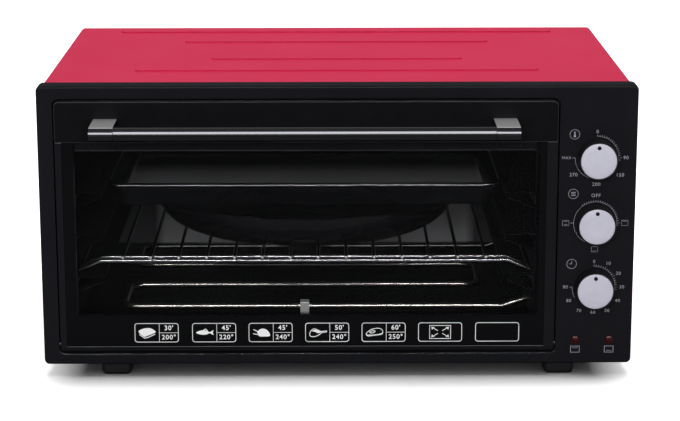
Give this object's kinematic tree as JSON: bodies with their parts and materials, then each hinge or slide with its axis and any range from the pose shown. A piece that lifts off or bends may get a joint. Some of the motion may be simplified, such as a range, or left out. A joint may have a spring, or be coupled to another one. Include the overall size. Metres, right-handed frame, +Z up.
{
  "type": "mini oven",
  "caption": "Countertop electric mini oven with a bottom-hinged glass door, bar handle, turning controls, wire rack, baking tray and round pan.",
  "frame": {"origin": "centre of the bounding box at its bottom, on the plane of the feet", "axes": "+X to the right seen from the front, +Y to the rear, +Z up"},
  "size_m": [0.59, 0.4408, 0.296],
  "materials": {
    "black_enamel": "gloss black enamel on steel",
    "red_paint": "satin crimson powder coat",
    "grey_steel": "aluminised steel sheet",
    "heater_steel": "drawn steel",
    "chrome": "polished chrome",
    "satin_metal": "satin",
    "copper": "drawn copper",
    "knob_silver": "silver lacquer",
    "knob_black": "black moulding",
    "black_plastic": "black moulding",
    "phenolic": "brown moulding",
    "pale_plastic": "pale moulding",
    "red_lens": "clear dark red lens",
    "smoked_glass": "grey tinted glass with a printed border",
    "clear_glass": "clear heat-proof glass",
    "bright_wire": "bright plated wire",
    "dark_enamel": "black enamel on steel"
  },
  "bodies": {
    "cabinet": {"front_frame": "black_enamel", "outer_cover": "red_paint", "base_plate": "grey_steel", "rear_panel": "grey_steel", "cavity_left_wall": "grey_steel", "cavity_right_wall": "grey_steel", "cavity_ceiling": "grey_steel", "cavity_floor": "grey_steel", "cavity_back": "grey_steel", "control_bracket": "grey_steel", "heat_shield": "grey_steel", "timer_bell": "grey_steel", "heater_lower": "heater_steel", "heater_upper": "heater_steel", "heater_lower_clip": "heater_steel", "heater_upper_clip": "heater_steel", "hinge_spring_left": "heater_steel", "hinge_spring_right": "heater_steel", "hinge_pin_left": "heater_steel", "hinge_pin_right": "heater_steel", "thermostat_capillary": "copper", "cord_gland": "black_plastic", "foot_front_left": "black_plastic", "foot_front_right": "black_plastic", "foot_rear_left": "black_plastic", "foot_rear_right": "black_plastic", "thermostat_body": "phenolic", "function_body": "phenolic", "timer_body": "phenolic", "terminal_block": "pale_plastic", "pilot_lamp_left": "red_lens", "pilot_lamp_right": "red_lens"},
    "door": {"door_frame": "black_enamel", "door_liner": "grey_steel", "door_glass_outer": "smoked_glass", "door_glass_inner": "clear_glass", "door_top_trim": "black_plastic", "handle_bar": "chrome", "handle_end_left": "satin_metal", "handle_end_right": "satin_metal", "handle_screw_left": "heater_steel", "handle_screw_right": "heater_steel", "hinge_arm_left": "grey_steel", "hinge_arm_right": "grey_steel"},
    "thermostat_control": {"thermostat_knob": "knob_black", "thermostat_knob_cap": "knob_silver", "thermostat_shaft": "heater_steel"},
    "function_control": {"function_knob": "knob_black", "function_knob_cap": "knob_silver", "function_shaft": "heater_steel"},
    "timer_control": {"timer_knob": "knob_black", "timer_knob_cap": "knob_silver", "timer_shaft": "heater_steel"},
    "rack": {"wire_rack": "bright_wire", "round_pan": "dark_enamel"},
    "tray": {"baking_tray": "dark_enamel"}
  },
  "joints": [
    {"name": "door_hinge", "type": "hinge", "parent": "cabinet", "child": "door", "pos_m": [0, -0.1629, 0.0325], "axis": [1, 0, 0], "range_deg": [0, 82], "stiffness_Nm_per_rad": 0.35, "springref_deg": -74.48},
    {"name": "thermostat_turn", "type": "hinge", "parent": "cabinet", "child": "thermostat_control", "pos_m": [0.2554, -0.1664, 0.2235], "axis": [0, 1, 0], "range_deg": [0, 270]},
    {"name": "function_turn", "type": "hinge", "parent": "cabinet", "child": "function_control", "pos_m": [0.2554, -0.1664, 0.1575], "axis": [0, 1, 0], "range_deg": [0, 270]},
    {"name": "timer_turn", "type": "hinge", "parent": "cabinet", "child": "timer_control", "pos_m": [0.2554, -0.1664, 0.0915], "axis": [0, 1, 0], "range_deg": [0, 270]},
    {"name": "rack_slide", "type": "slide", "parent": "cabinet", "child": "rack", "axis": [0, -1, 0], "range_m": [0, 0.01]},
    {"name": "tray_slide", "type": "slide", "parent": "cabinet", "child": "tray", "axis": [0, -1, 0], "range_m": [0, 0.026]}
  ]
}
